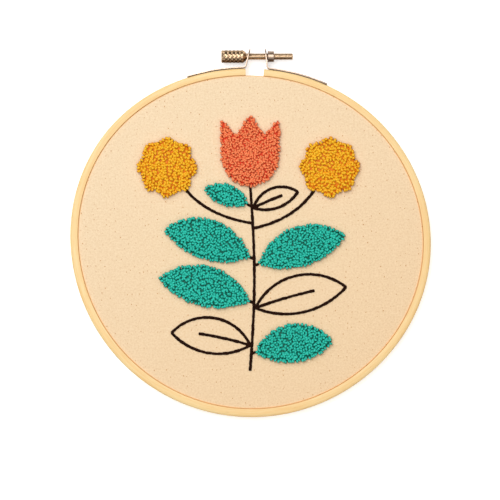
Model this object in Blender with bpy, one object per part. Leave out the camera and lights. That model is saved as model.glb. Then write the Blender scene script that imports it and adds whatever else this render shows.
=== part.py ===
"""Embroidered cloth in a wooden embroidery hoop.

The hoop lies on its back: +X to the right, +Y towards the clamp screw, +Z out of the cloth's front.
The origin is at the middle of the whole thing's bottom.
"""
import math
from collections import namedtuple

import bmesh
import bpy
from mathutils import Vector

MM = 0.001
GAP = 0.3 * MM

# The outer ring is bent from a strip of bamboo, so its outline is a circle with a few small waves
Wave = namedtuple("Wave", "count swing crest_deg")
MEAN_RADIUS = 104.8 * MM
WAVES = (
    Wave(2, 1.96 * MM, -13.2),
    Wave(3, 0.57 * MM, 22.1),
    Wave(4, 0.19 * MM, -30.9),
    Wave(5, 0.10 * MM, -8.3),
)
RING_DEPTH = 10.0 * MM
RING_WALL = 4.5 * MM
WALL_SWING = 0.45 * MM
WALL_THICKEST_DEG = 260.0
RING_EDGE = 1.2 * MM
BACK_EDGE = 0.6 * MM
RING_STEPS = 84
EDGE_STEPS = 3
SPLIT_LEFT_DEG = 91.5
SPLIT_RIGHT_DEG = 85.4

# The cloth is drawn over the inner ring, down its outside, and clamped there by the outer ring
CLOTH_THICKNESS = 1.0 * MM
CLOTH_FRONT = 9.2 * MM
CLOTH_HEM = 0.4 * MM
CLOTH_FLAT_EDGE = -12.0 * MM
CLOTH_OUTSIDE = -(RING_WALL + GAP)
INNER_OUTSIDE = CLOTH_OUTSIDE - CLOTH_THICKNESS - GAP
INNER_WALL = 4.5 * MM
INNER_DEPTH = CLOTH_FRONT - CLOTH_THICKNESS - GAP

# Clamp screw, along X across the split
AXIS_Y = 109.6 * MM
AXIS_Z = 5.0 * MM
TURNED_STEPS = 24
HEAD_LEFT = -17.0 * MM
HEAD_RIGHT = -2.5 * MM
HEAD_RADIUS = 3.8 * MM
HEAD_CHAMFER = 0.6 * MM
HEAD_NECK = 1.6 * MM
NECK_RADIUS = 2.4 * MM
SHANK_RADIUS = 1.9 * MM
SHANK_RIGHT = 25.3 * MM
SHANK_CHAMFER = 0.5 * MM

# Nut on the right ear
NUT_LEFT = 10.5 * MM
NUT_RIGHT = 14.2 * MM
NUT_RADIUS = 3.15 * MM
NUT_BORE_RADIUS = 2.2 * MM
NUT_FLANGE = 0.6 * MM
NUT_FLANGE_RADIUS = 3.4 * MM
NUT_CHAMFER = 0.4 * MM

# Ears of sheet metal: a strip along the ring's outside, bent out into a tab with the screw's hole
Ear = namedtuple("Ear", "name far_deg foot_deg tab_x")
EARS = (
    Ear("left_ear", 110.9, SPLIT_LEFT_DEG, -1.15 * MM),
    Ear("right_ear", 63.9, 84.3, 9.5 * MM),
)
EAR_THICKNESS = 0.9 * MM
EAR_WIDTH = 9.0 * MM
EAR_BEND_RADIUS = 1.85 * MM
EAR_BEND_STEPS = 4
EAR_STRIP_STEPS = 9
EAR_CLEAR_DEG = 1.2
TAB_RADIUS = 4.5 * MM
TAB_CORNER = 4.3 * MM
TAB_CORNER_STEPS = 5
EAR_HOLE_RADIUS = 2.4 * MM

# Loop pile, a low crowned pad of yarn loops for each motif
PILE_BASE = CLOTH_FRONT + GAP
PILE_SHOULDER = 11.7 * MM
PILE_TOP = 12.5 * MM
PILE_CROWN = 1.1 * MM

# The sprig stands on one stem, which sways a little to the right
STEM_FOOT = -76.0 * MM
STEM_TOP = 34.0 * MM
STEM_SWAY = 2.5 * MM
LEAF_STALK = 2.6 * MM
LEAF_RISE = 1.0 * MM
LEAF_BOW = 0.1
LEAF_STEPS = 7
Leaf = namedtuple("Leaf", "name height side angle_deg length width")
LEAVES = (
    Leaf("pile_leaf_low_right", -66 * MM, 1, 8, 46 * MM, 22 * MM),
    Leaf("pile_leaf_middle_left", -36 * MM, -1, 14, 55 * MM, 23 * MM),
    Leaf("pile_leaf_upper_right", -14 * MM, 1, 18, 54 * MM, 23 * MM),
    Leaf("pile_leaf_upper_left", -10 * MM, -1, 18, 53 * MM, 23 * MM),
    Leaf("pile_leaf_small_left", 21 * MM, -1, 20, 27 * MM, 12 * MM),
)
Blossom = namedtuple("Blossom", "name x y radius")
BLOSSOMS = (
    Blossom("pile_blossom_right", 47 * MM, 44 * MM, 16.5 * MM),
    Blossom("pile_blossom_left", -49 * MM, 44 * MM, 16.5 * MM),
)
BLOSSOM_LOBES = 8
BLOSSOM_LOBE_DEPTH = 0.07
BLOSSOM_STEPS = 48
TULIP_Y = 54 * MM
TULIP_WIDTH = 34 * MM
TULIP_HEIGHT = 42 * MM
TULIP_BOWL = 0.45
TULIP_BOWL_STEPS = 12
Point = namedtuple("Point", "across_share down_share")
TULIP_POINTS = (
    Point(0.50, 0.06),
    Point(0.24, 0.30),
    Point(0.00, 0.00),
    Point(-0.24, 0.30),
    Point(-0.50, 0.06),
)


def outline(angle):
    """Radius of the outer ring's outside at an angle about the hoop's centre."""
    waves = (wave.swing * math.cos(wave.count * (angle - math.radians(wave.crest_deg))) for wave in WAVES)
    return MEAN_RADIUS + sum(waves)


def wall_swing(angle):
    """How much thicker than its mean the outer ring's wall is at an angle."""
    return WALL_SWING * math.cos(angle - math.radians(WALL_THICKEST_DEG))


def polar(radius, angle):
    return Vector((radius * math.cos(angle), radius * math.sin(angle)))


def srgb(red, green, blue):
    """Linear colour of a screen colour of 0 to 255 a channel."""
    shares = (channel / 255 for channel in (red, green, blue))
    linear = (s / 12.92 if s <= 0.04045 else ((s + 0.055) / 1.055) ** 2.4 for s in shares)
    return (*linear, 1.0)


def finish(name, colour, roughness, metallic=0.0):
    material = bpy.data.materials.new(name)
    material.use_nodes = True
    shader = material.node_tree.nodes["Principled BSDF"]
    shader.inputs["Base Color"].default_value = colour
    shader.inputs["Roughness"].default_value = roughness
    shader.inputs["Metallic"].default_value = metallic
    return material


def make_object(name, bm, material, parent, place=(0, 0, 0), smooth=True):
    """Turn a finished bmesh into a named object that hangs from the hoop's centre."""
    bmesh.ops.recalc_face_normals(bm, faces=bm.faces)
    mesh = bpy.data.meshes.new(name)
    bm.to_mesh(mesh)
    bm.free()
    if smooth:
        mesh.shade_smooth()
        mesh.set_sharp_from_angle(angle=math.radians(40))
    mesh.materials.append(material)
    piece = bpy.data.objects.new(name, mesh)
    bpy.context.scene.collection.objects.link(piece)
    piece.parent = parent
    piece.location = place
    return piece


def chain(bm, points, closed):
    """Join points by edges, in a loop where closed."""
    verts = [bm.verts.new(point) for point in points]
    pairs = zip(verts, verts[1:] + verts[:1]) if closed else zip(verts, verts[1:])
    edges = [bm.edges.new(pair) for pair in pairs]
    return verts + edges


def corner(x, y, radius, start_deg, steps=EDGE_STEPS):
    """Quarter arc, anticlockwise from start_deg, about a corner's centre."""
    angles = (math.radians(start_deg + 90 * step / steps) for step in range(steps + 1))
    return [(x + radius * math.cos(angle), y + radius * math.sin(angle)) for angle in angles]


def ring_section(inside, outside, depth):
    """Section of a wooden ring: (offset from the outline, height), rounded more at the front."""
    front = depth - RING_EDGE
    return (
        corner(outside - RING_EDGE, front, RING_EDGE, 0)
        + corner(inside + RING_EDGE, front, RING_EDGE, 90)
        + corner(inside + BACK_EDGE, BACK_EDGE, BACK_EDGE, 180, steps=2)
        + corner(outside - BACK_EDGE, BACK_EDGE, BACK_EDGE, 270, steps=2)
    )


def cloth_section():
    """Section of the cloth, from the flat's front over the inner ring to the hem and back inside."""
    roll_inside = RING_EDGE
    roll_outside = RING_EDGE + CLOTH_THICKNESS
    middle_x = CLOTH_OUTSIDE - roll_outside
    middle_z = CLOTH_FRONT - roll_outside
    front = corner(middle_x, middle_z, roll_outside, 0)
    back = corner(middle_x, middle_z, roll_inside, 0)
    inside = CLOTH_OUTSIDE - CLOTH_THICKNESS
    return (
        [(CLOTH_FLAT_EDGE, CLOTH_FRONT)]
        + front[::-1]
        + [(CLOTH_OUTSIDE, CLOTH_HEM), (inside, CLOTH_HEM)]
        + back
        + [(CLOTH_FLAT_EDGE, CLOTH_FRONT - CLOTH_THICKNESS)]
    )


def fit_to_outline(bm):
    """Move a body that was spun round the mean circle onto the ring's outline."""
    for vert in bm.verts:
        angle = math.atan2(vert.co.y, vert.co.x)
        offset = vert.co.xy.length - MEAN_RADIUS
        depth_share = min(1.0, -offset / RING_WALL)
        place = polar(outline(angle) + offset - depth_share * wall_swing(angle), angle)
        vert.co = (place.x, place.y, vert.co.z)


def spin_round(bm, geometry, sweep=math.tau):
    bmesh.ops.spin(
        bm,
        geom=geometry,
        cent=(0, 0, 0),
        axis=(0, 0, 1),
        angle=sweep,
        steps=RING_STEPS,
        use_merge=sweep == math.tau,
    )


def make_outer_ring(parent, material):
    """The split ring: one section swept from the left side of the split round to the right side."""
    start = math.radians(SPLIT_LEFT_DEG)
    sweep = math.radians(360 + SPLIT_RIGHT_DEG - SPLIT_LEFT_DEG)
    bm = bmesh.new()
    points = []
    for offset, height in ring_section(-RING_WALL, 0.0, RING_DEPTH):
        place = polar(MEAN_RADIUS + offset, start)
        points.append((place.x, place.y, height))
    verts = [bm.verts.new(point) for point in points]
    section = bm.faces.new(verts)
    spin_round(bm, verts + list(section.edges) + [section], sweep)
    fit_to_outline(bm)
    return make_object("outer_ring", bm, material, parent)


def make_inner_ring(parent, material):
    bm = bmesh.new()
    section = ring_section(INNER_OUTSIDE - INNER_WALL, INNER_OUTSIDE, INNER_DEPTH)
    points = [(MEAN_RADIUS + offset, 0.0, height) for offset, height in section]
    spin_round(bm, chain(bm, points, closed=True))
    fit_to_outline(bm)
    return make_object("inner_ring", bm, material, parent)


def make_cloth(parent, material):
    bm = bmesh.new()
    points = [(MEAN_RADIUS + offset, 0.0, height) for offset, height in cloth_section()]
    spin_round(bm, chain(bm, points, closed=False))
    bmesh.ops.holes_fill(bm, edges=[edge for edge in bm.edges if edge.is_boundary])
    fit_to_outline(bm)
    return make_object("cloth", bm, material, parent)


def make_turned(name, profile, closed, parent, material):
    """Body of (x, radius) points turned about the screw's axis, with flat ends where it is open."""
    bm = bmesh.new()
    points = [(x, 0.0, radius) for x, radius in profile]
    bmesh.ops.spin(
        bm,
        geom=chain(bm, points, closed),
        cent=(0, 0, 0),
        axis=(1, 0, 0),
        angle=math.tau,
        steps=TURNED_STEPS,
        use_merge=True,
    )
    if not closed:
        bmesh.ops.holes_fill(bm, edges=[edge for edge in bm.edges if edge.is_boundary])
    return make_object(name, bm, material, parent, place=(0, AXIS_Y, AXIS_Z))


def make_screw(parent, material):
    profile = (
        (HEAD_LEFT, HEAD_RADIUS - HEAD_CHAMFER),
        (HEAD_LEFT + HEAD_CHAMFER, HEAD_RADIUS),
        (HEAD_RIGHT - HEAD_NECK, HEAD_RADIUS),
        (HEAD_RIGHT, NECK_RADIUS),
        (HEAD_RIGHT, SHANK_RADIUS),
        (SHANK_RIGHT - SHANK_CHAMFER, SHANK_RADIUS),
        (SHANK_RIGHT, SHANK_RADIUS - SHANK_CHAMFER),
    )
    return make_turned("screw", profile, False, parent, material)


def make_nut(parent, material):
    profile = (
        (NUT_LEFT, NUT_BORE_RADIUS),
        (NUT_LEFT, NUT_FLANGE_RADIUS),
        (NUT_LEFT + NUT_FLANGE, NUT_FLANGE_RADIUS),
        (NUT_LEFT + NUT_FLANGE, NUT_RADIUS),
        (NUT_RIGHT - NUT_CHAMFER, NUT_RADIUS),
        (NUT_RIGHT, NUT_RADIUS - NUT_CHAMFER),
        (NUT_RIGHT, NUT_BORE_RADIUS),
    )
    return make_turned("nut", profile, True, parent, material)


def bend(before, at, after, radius, steps):
    """Arc that rounds the corner of the way from before to after."""
    way_in = (at - before).normalized()
    way_out = (after - at).normalized()
    turn = math.atan2(way_in.x * way_out.y - way_in.y * way_out.x, way_in.dot(way_out))
    start = at - way_in * radius * math.tan(abs(turn) / 2)
    side = math.copysign(radius, turn)
    centre = start + Vector((-way_in.y, way_in.x)) * side
    first = math.atan2(start.y - centre.y, start.x - centre.x)
    return [centre + polar(radius, first + turn * step / steps) for step in range(steps + 1)]


def ear_path(ear):
    """Middle line of an ear in plan, from the strip's far end to the tab's top."""
    lift = GAP + EAR_THICKNESS / 2
    away = math.copysign(EAR_CLEAR_DEG, ear.far_deg - ear.foot_deg)
    span = ear.foot_deg + away - ear.far_deg
    angles = [math.radians(ear.far_deg + span * step / EAR_STRIP_STEPS) for step in range(EAR_STRIP_STEPS + 1)]
    strip = [polar(outline(angle) + lift, angle) for angle in angles]
    foot_angle = math.radians(ear.foot_deg)
    foot = polar(outline(foot_angle) + lift, foot_angle)
    hole = Vector((ear.tab_x, AXIS_Y))
    top = foot + (hole - foot) * (AXIS_Y + TAB_RADIUS - foot.y) / (AXIS_Y - foot.y)
    return strip[:-1] + bend(strip[-1], foot, top, EAR_BEND_RADIUS, EAR_BEND_STEPS) + [top]


def ribbon(path, thickness):
    """Outline of a strip of even thickness along a path."""
    left, right = [], []
    for index, point in enumerate(path):
        before = path[max(index - 1, 0)]
        after = path[min(index + 1, len(path) - 1)]
        along = (after - before).normalized()
        across = Vector((-along.y, along.x)) * thickness / 2
        left.append(point + across)
        right.append(point - across)
    return left + right[::-1]


def make_hole_cutter(ear, parent):
    """Pin along X that cuts the screw's hole in an ear's tab."""
    length = 8 * EAR_THICKNESS
    bpy.ops.mesh.primitive_cylinder_add(vertices=TURNED_STEPS, radius=EAR_HOLE_RADIUS, depth=length)
    cutter = bpy.context.object
    cutter.name = ear.name + "_hole_cutter"
    cutter.parent = parent
    cutter.rotation_euler = (0, math.radians(90), 0)
    cutter.location = (ear.tab_x, AXIS_Y, AXIS_Z)
    cutter.hide_render = True
    cutter.display_type = "WIRE"
    return cutter


def make_ear(ear, parent, material):
    bottom = AXIS_Z - EAR_WIDTH / 2
    path = ear_path(ear)
    bm = bmesh.new()
    plan = bm.faces.new([bm.verts.new((point.x, point.y, bottom)) for point in ribbon(path, EAR_THICKNESS)])
    walls = bmesh.ops.extrude_face_region(bm, geom=[plan])["geom"]
    lifted = [item for item in walls if isinstance(item, bmesh.types.BMVert)]
    bmesh.ops.translate(bm, verts=lifted, vec=(0, 0, EAR_WIDTH))
    top = path[-1]
    corners = [
        edge for edge in bm.edges
        if all((vert.co.xy - top).length < EAR_THICKNESS for vert in edge.verts)
        and abs(edge.verts[0].co.z - edge.verts[1].co.z) < GAP
    ]
    bmesh.ops.bevel(
        bm, geom=corners, offset=TAB_CORNER, segments=TAB_CORNER_STEPS, profile=0.5, affect="EDGES"
    )
    piece = make_object(ear.name, bm, material, parent)
    hole = piece.modifiers.new("screw hole", "BOOLEAN")
    hole.operation = "DIFFERENCE"
    hole.object = make_hole_cutter(ear, parent)
    return piece


def stem_x(height):
    """Where the stem stands at a height on the cloth."""
    return STEM_SWAY * math.sin(math.pi * (height - STEM_FOOT) / (STEM_TOP - STEM_FOOT))


def leaf_outline(leaf):
    """Two arcs between a leaf's stalk and its tip, the upper one the rounder."""
    lean = math.radians(leaf.angle_deg)
    along = Vector((leaf.side * math.cos(lean), math.sin(lean)))
    across = Vector((-along.y, along.x)) * leaf.side
    stalk = Vector((stem_x(leaf.height) + leaf.side * LEAF_STALK, leaf.height + LEAF_RISE))
    points = []
    for way, share in ((1, 0.5 + LEAF_BOW), (-1, 0.5 - LEAF_BOW)):
        rise = leaf.width * share
        radius = (leaf.length ** 2 / 4 + rise ** 2) / (2 * rise)
        half_angle = math.asin(leaf.length / 2 / radius)
        for step in range(LEAF_STEPS):
            angle = way * half_angle * (2 * step / LEAF_STEPS - 1)
            forward = leaf.length / 2 + radius * math.sin(angle)
            sideways = way * (radius * math.cos(angle) - radius + rise)
            points.append(stalk + along * forward + across * sideways)
    return points


def blossom_outline(blossom):
    """Circle with a row of shallow round lobes."""
    points = []
    for step in range(BLOSSOM_STEPS):
        angle = math.tau * step / BLOSSOM_STEPS
        radius = blossom.radius * (1 + BLOSSOM_LOBE_DEPTH * math.cos(BLOSSOM_LOBES * angle))
        points.append(Vector((blossom.x, blossom.y)) + polar(radius, angle))
    return points


def tulip_outline():
    """Round bowl below, three points above."""
    middle = stem_x(STEM_TOP)
    top = TULIP_Y + TULIP_HEIGHT / 2
    bowl = TULIP_HEIGHT * TULIP_BOWL
    points = []
    for step in range(TULIP_BOWL_STEPS + 1):
        angle = math.pi * (1 + step / TULIP_BOWL_STEPS)
        across = TULIP_WIDTH / 2 * math.cos(angle)
        points.append(Vector((middle + across, TULIP_Y - TULIP_HEIGHT / 2 + bowl * (1 + math.sin(angle)))))
    for point in TULIP_POINTS:
        across = point.across_share * TULIP_WIDTH
        points.append(Vector((middle + across, top - point.down_share * TULIP_HEIGHT)))
    return points


def make_pile(name, points, parent, material):
    """Pad over a motif's outline, with its top edge drawn in to a low crown."""
    bm = bmesh.new()
    base = bm.faces.new([bm.verts.new((point.x, point.y, PILE_BASE)) for point in points])
    raised = bmesh.ops.extrude_face_region(bm, geom=[base])["geom"]
    lifted = [item for item in raised if isinstance(item, bmesh.types.BMVert)]
    bmesh.ops.translate(bm, verts=lifted, vec=(0, 0, PILE_SHOULDER - PILE_BASE))
    bmesh.ops.recalc_face_normals(bm, faces=bm.faces)
    top = [face for face in bm.faces if face.normal.z > 0.9]
    bmesh.ops.inset_region(
        bm, faces=top, thickness=PILE_CROWN, depth=PILE_TOP - PILE_SHOULDER, use_even_offset=True
    )
    return make_object(name, bm, material, parent, smooth=False)


def centre_on_origin(parent, pieces):
    """Slide the hoop so that the origin is at the middle of the whole thing's bottom."""
    bpy.context.view_layer.update()
    corners = [piece.matrix_world @ Vector(place) for piece in pieces for place in piece.bound_box]
    for axis in (0, 1):
        values = [place[axis] for place in corners]
        parent.location[axis] = -(min(values) + max(values)) / 2
    bpy.context.view_layer.update()


def build():
    for old in list(bpy.data.objects):
        bpy.data.objects.remove(old)
    hoop_centre = bpy.data.objects.new("hoop_centre", None)
    bpy.context.scene.collection.objects.link(hoop_centre)

    bamboo = finish("bamboo", srgb(250, 217, 155), 0.45)
    inner_bamboo = finish("inner_bamboo", srgb(240, 205, 145), 0.5)
    natural_cloth = finish("natural_cloth", srgb(245, 219, 181), 0.9)
    nickel = finish("nickel", srgb(214, 200, 182), 0.3, metallic=1.0)
    bronze = finish("bronze", srgb(178, 148, 112), 0.32, metallic=1.0)
    teal_yarn = finish("teal_yarn", srgb(36, 155, 135), 0.9)
    yellow_yarn = finish("yellow_yarn", srgb(231, 156, 34), 0.9)
    orange_yarn = finish("orange_yarn", srgb(233, 108, 68), 0.9)

    pieces = [
        make_outer_ring(hoop_centre, bamboo),
        make_inner_ring(hoop_centre, inner_bamboo),
        make_cloth(hoop_centre, natural_cloth),
        make_screw(hoop_centre, bronze),
        make_nut(hoop_centre, nickel),
    ]
    pieces += [make_ear(ear, hoop_centre, nickel) for ear in EARS]
    pieces += [make_pile(leaf.name, leaf_outline(leaf), hoop_centre, teal_yarn) for leaf in LEAVES]
    pieces += [
        make_pile(blossom.name, blossom_outline(blossom), hoop_centre, yellow_yarn) for blossom in BLOSSOMS
    ]
    pieces.append(make_pile("pile_tulip", tulip_outline(), hoop_centre, orange_yarn))
    centre_on_origin(hoop_centre, pieces)


build()
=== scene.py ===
"""Embroidered sprig in a wooden embroidery hoop: the looks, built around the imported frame.

Everything is in metres, in the frame's own place: the hoop lies on its back, +Y towards the clamp
screw and +Z out of the cloth's front. Pieces are modelled about the hoop's centre, then moved to it.
"""

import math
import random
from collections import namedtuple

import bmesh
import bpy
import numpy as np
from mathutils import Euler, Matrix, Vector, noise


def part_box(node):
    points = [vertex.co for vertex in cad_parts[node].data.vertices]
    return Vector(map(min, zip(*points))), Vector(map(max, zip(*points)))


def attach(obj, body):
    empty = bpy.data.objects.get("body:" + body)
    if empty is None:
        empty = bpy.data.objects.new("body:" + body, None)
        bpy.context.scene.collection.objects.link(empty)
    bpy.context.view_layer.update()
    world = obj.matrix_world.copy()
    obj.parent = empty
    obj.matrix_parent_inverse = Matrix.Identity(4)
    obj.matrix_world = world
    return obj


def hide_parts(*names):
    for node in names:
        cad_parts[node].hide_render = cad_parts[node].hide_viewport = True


bl_info = {
    "name": "Embroidery hoop art",
    "version": (1, 0, 0),
    "blender": (4, 5, 0),
    "location": "View3D > Sidebar > Hoop Art",
    "description": "Dresses an embroidery hoop in bamboo, woven cloth, loop pile, stitches and metal",
    "category": "Add Mesh",
}

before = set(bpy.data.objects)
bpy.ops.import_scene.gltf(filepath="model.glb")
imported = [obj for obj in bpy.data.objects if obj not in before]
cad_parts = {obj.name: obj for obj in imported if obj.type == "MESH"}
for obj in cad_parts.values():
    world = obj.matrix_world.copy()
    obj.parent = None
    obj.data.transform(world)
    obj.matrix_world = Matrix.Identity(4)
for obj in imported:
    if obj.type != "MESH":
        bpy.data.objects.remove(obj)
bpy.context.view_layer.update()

MM = 0.001
PHOTO_SIDE = 500

# Where the frame holds the hoop: the screw gives the axis, and the axis gives the hoop's centre
SCREW_LOW, SCREW_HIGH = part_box("screw")
SCREW_AXIS = (SCREW_LOW + SCREW_HIGH) / 2
AXIS_ABOVE_CENTRE = 109.6 * MM
HEAD_END_FROM_CENTRE = -17.0 * MM
HOOP_CENTRE = Vector((SCREW_LOW.x - HEAD_END_FROM_CENTRE, SCREW_AXIS.y - AXIS_ABOVE_CENTRE, 0))
AXIS_Z = SCREW_AXIS.z
HEAD_RADIUS = (SCREW_HIGH.z - SCREW_LOW.z) / 2
SCREW_LENGTH = SCREW_HIGH.x - SCREW_LOW.x
RING_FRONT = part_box("outer_ring")[1].z
INNER_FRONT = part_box("inner_ring")[1].z
CLOTH_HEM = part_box("cloth")[0].z
CLOTH_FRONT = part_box("cloth")[1].z
PILE_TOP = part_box("pile_tulip")[1].z

# Outline of the outer ring: a mean radius and the waves of the sprung bamboo
Wave = namedtuple("Wave", "count swing crest_deg")
MEAN_RADIUS = 104.8 * MM
WAVES = (
    Wave(2, 1.96 * MM, -13.2),
    Wave(3, 0.57 * MM, 22.1),
    Wave(4, 0.19 * MM, -30.9),
    Wave(5, 0.10 * MM, -8.3),
)
RING_WALL = 4.5 * MM
WALL_SWING = 0.45 * MM
WALL_THICKEST_DEG = 260.0
SPLIT_LEFT_DEG = 91.5
SPLIT_RIGHT_DEG = 85.4
RING_STEPS = 180
SEAM_AT_DEG = 40.0
SEAM_DEG = 0.08
SKIM = 0.1 * MM
MERGE_WITHIN = 0.001 * MM

# Cloth over the inner ring, as offsets inwards from the outer ring's outside
GAP = 0.05 * MM
CLOTH_OUTSIDE = -(RING_WALL + GAP)
CLOTH_ROLL = 0.45 * MM
CLOTH_THICKNESS = 0.6 * MM
INNER_OUTSIDE = CLOTH_OUTSIDE - CLOTH_THICKNESS - 0.15 * MM
INNER_WALL = 5.0 * MM
CLOTH_STEPS = 192
CLOTH_ROW = 3.2 * MM
CLAMPED = 9 * MM
WAVE_FADE = 14 * MM

# The sprig, about the hoop's centre
STEM_FOOT = -76.0 * MM
STEM_TOP = 34.0 * MM
STEM_SWAY = 2.5 * MM
LEAF_STALK = 2.6 * MM
LINE_STALK = 0.9 * MM
LEAF_RISE = 1.0 * MM
LEAF_BOW = 0.1
Leaf = namedtuple("Leaf", "node height side angle_deg length width")
PILE_LEAVES = (
    Leaf("pile_leaf_low_right", -66 * MM, 1, 8, 46 * MM, 22 * MM),
    Leaf("pile_leaf_middle_left", -36 * MM, -1, 14, 55 * MM, 23 * MM),
    Leaf("pile_leaf_upper_right", -14 * MM, 1, 18, 54 * MM, 23 * MM),
    Leaf("pile_leaf_upper_left", -10 * MM, -1, 18, 53 * MM, 23 * MM),
    Leaf("pile_leaf_small_left", 21 * MM, -1, 20, 27 * MM, 12 * MM),
)
LINE_LEAVES = (
    Leaf("", -62 * MM, -1, 9, 47 * MM, 21 * MM),
    Leaf("", -40 * MM, 1, 13, 55 * MM, 22 * MM),
    Leaf("", 19 * MM, 1, 20, 28 * MM, 12 * MM),
)
Blossom = namedtuple("Blossom", "node x y radius stem_foot bend_x bend_y")
BLOSSOMS = (
    Blossom("pile_blossom_right", 47 * MM, 44 * MM, 16.5 * MM, 8 * MM, 26 * MM, 13 * MM),
    Blossom("pile_blossom_left", -49 * MM, 44 * MM, 16.5 * MM, 11 * MM, -25 * MM, 15 * MM),
)
BLOSSOM_LOBES = 8
BLOSSOM_LOBE_DEPTH = 0.07
TULIP_Y = 54 * MM
TULIP_WIDTH = 34 * MM
TULIP_HEIGHT = 42 * MM
TULIP_BOWL = 0.45
Point = namedtuple("Point", "across_share down_share")
TULIP_POINTS = (
    Point(0.50, 0.06),
    Point(0.24, 0.30),
    Point(0.00, 0.00),
    Point(-0.24, 0.30),
    Point(-0.50, 0.06),
)

# Loops and stitches: shares of a loop's spacing, tops of the beds above the cloth, and the section
# of a stitch in rows of x and radius, for one that is 1 long and 1 wide
YARN_SHARE = 1.12
BEND_SHARE = 0.29
BED_TOPS = {"teal": 1.3 * MM, "yellow": 1.6 * MM, "orange": 1.5 * MM}
BED_INSET = 0.7 * MM
BED_SHOULDER = 0.4 * MM
# Tint of the beds under the loops: it gives them the yarn's deep colour, as painted shade between the loops.
BED_SHADE_TINT = -2.0
STITCH_ROWS = (
    (-0.50, 0.22), (-0.465, 0.40), (-0.38, 0.48), (-0.15, 0.50),
    (0.15, 0.50), (0.38, 0.48), (0.465, 0.40), (0.50, 0.22),
)
FLAT_STITCH_ROWS = ((-0.50, 0.25), (-0.42, 0.46), (0.0, 0.50), (0.42, 0.46), (0.50, 0.25))
THREAD_FLATNESS = 0.7


def srgb(red, green, blue):
    """Linear colour of a screen colour of 0 to 255 a channel."""
    shares = (channel / 255 for channel in (red, green, blue))
    linear = (s / 12.92 if s <= 0.04045 else ((s + 0.055) / 1.055) ** 2.4 for s in shares)
    return (*linear, 1.0)


def length_property(name, description, default):
    return bpy.props.FloatProperty(
        name=name, description=description, default=default, min=0.0, unit="LENGTH", precision=5
    )


def colour_property(name, description, default):
    return bpy.props.FloatVectorProperty(
        name=name, description=description, default=default, size=4, subtype="COLOR", min=0.0, max=1.0
    )


class HoopArtSizes(bpy.types.PropertyGroup):
    """Sizes of the yarn, thread and small hardware details."""

    outer_edge: length_property("Outer edge", "Rounding of the rings' front edges outside", 1.3 * MM)
    inner_edge: length_property("Inner edge", "Rounding of the rings' front edges inside", 0.25 * MM)
    back_edge: length_property("Back edge", "Rounding of the rings' back edges", 0.6 * MM)
    teal_spacing: length_property("Teal spacing", "Least distance between two teal loops", 1.26 * MM)
    yellow_spacing: length_property("Yellow spacing", "Least distance between two yellow loops", 1.42 * MM)
    orange_spacing: length_property("Orange spacing", "Least distance between two orange loops", 1.17 * MM)
    thread_width: length_property("Thread width", "Width of the black line stitches", 1.75 * MM)
    stitch_length: length_property("Stitch length", "Length of one line stitch", 3.4 * MM)
    back_stitch: length_property("Back stitch", "Length of one running stitch behind the pile", 2.2 * MM)
    ear_thinning: length_property("Ear thinning", "What the ears' metal loses of their solids", 0.3 * MM)
    thread_pitch: length_property("Screw thread pitch", "Travel of the screw in one turn", 0.7 * MM)
    thread_depth: length_property("Screw thread depth", "Depth of the screw's thread", 0.12 * MM)
    knurl_depth: length_property("Knurl depth", "Depth of the knurl on the screw's head", 0.42 * MM)


class HoopArtColours(bpy.types.PropertyGroup):
    """Colours of the hoop's materials."""

    bamboo: colour_property("Bamboo", "Pale face of the bamboo rings", srgb(240, 212, 155))
    bamboo_streak: colour_property("Bamboo streak", "Fibres along the rings", srgb(234, 188, 120))
    cloth: colour_property("Cloth", "Unbleached cotton", srgb(245, 223, 191))
    # Painted shade: this tint makes one side of the cotton yellower and darker.
    cloth_shaded_side: colour_property("Cloth ageing", "Tint of the cotton's yellower side", srgb(254, 247, 239))
    cloth_fleck: colour_property("Cloth fleck", "Seed flecks in the cotton", srgb(186, 116, 34))
    # The lit yarn colours are painted light on the loops' tops, and the deep ones painted shade low between
    # the loops.
    teal: colour_property("Teal yarn", "Lit tops of the teal loops", srgb(46, 196, 175))
    teal_painted_shade: colour_property("Deep teal", "Teal between the loops", srgb(0, 118, 98))
    yellow: colour_property("Yellow yarn", "Lit tops of the yellow loops", srgb(241, 185, 36))
    yellow_painted_shade: colour_property("Deep yellow", "Yellow between the loops", srgb(234, 130, 3))
    orange: colour_property("Orange yarn", "Lit tops of the orange loops", srgb(251, 142, 92))
    orange_painted_shade: colour_property("Deep orange", "Orange between the loops", srgb(248, 74, 38))
    black: colour_property("Black thread", "Line stitches", srgb(22, 9, 5))
    nickel: colour_property("Nickel", "Ears and nut", srgb(178, 156, 138))
    bronze: colour_property("Bronze", "Clamp screw", srgb(208, 178, 144))


def sizes():
    return bpy.context.scene.hoop_art_sizes


def colours():
    return bpy.context.scene.hoop_art_colours


# Shape of the hoop and of the sprig


def outline(angle):
    """Radius of the outer ring's outside at an angle about the hoop's centre."""
    waves = (wave.swing * math.cos(wave.count * (angle - math.radians(wave.crest_deg))) for wave in WAVES)
    return MEAN_RADIUS + sum(waves)


def wall_swing(angle):
    """How much thicker than its mean the outer ring's wall is at an angle."""
    return WALL_SWING * math.cos(angle - math.radians(WALL_THICKEST_DEG))


def polar(radius, angle):
    return Vector((radius * math.cos(angle), radius * math.sin(angle)))


def stem_x(height):
    """Where the stem stands at a height on the cloth."""
    return STEM_SWAY * math.sin(math.pi * (height - STEM_FOOT) / (STEM_TOP - STEM_FOOT))


def leaf_axes(leaf, stalk_length):
    """A leaf's stalk, and its directions along and across."""
    lean = math.radians(leaf.angle_deg)
    along = Vector((leaf.side * math.cos(lean), math.sin(lean)))
    across = Vector((-along.y, along.x)) * leaf.side
    stalk = Vector((stem_x(leaf.height) + leaf.side * stalk_length, leaf.height + LEAF_RISE))
    return stalk, along, across


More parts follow.
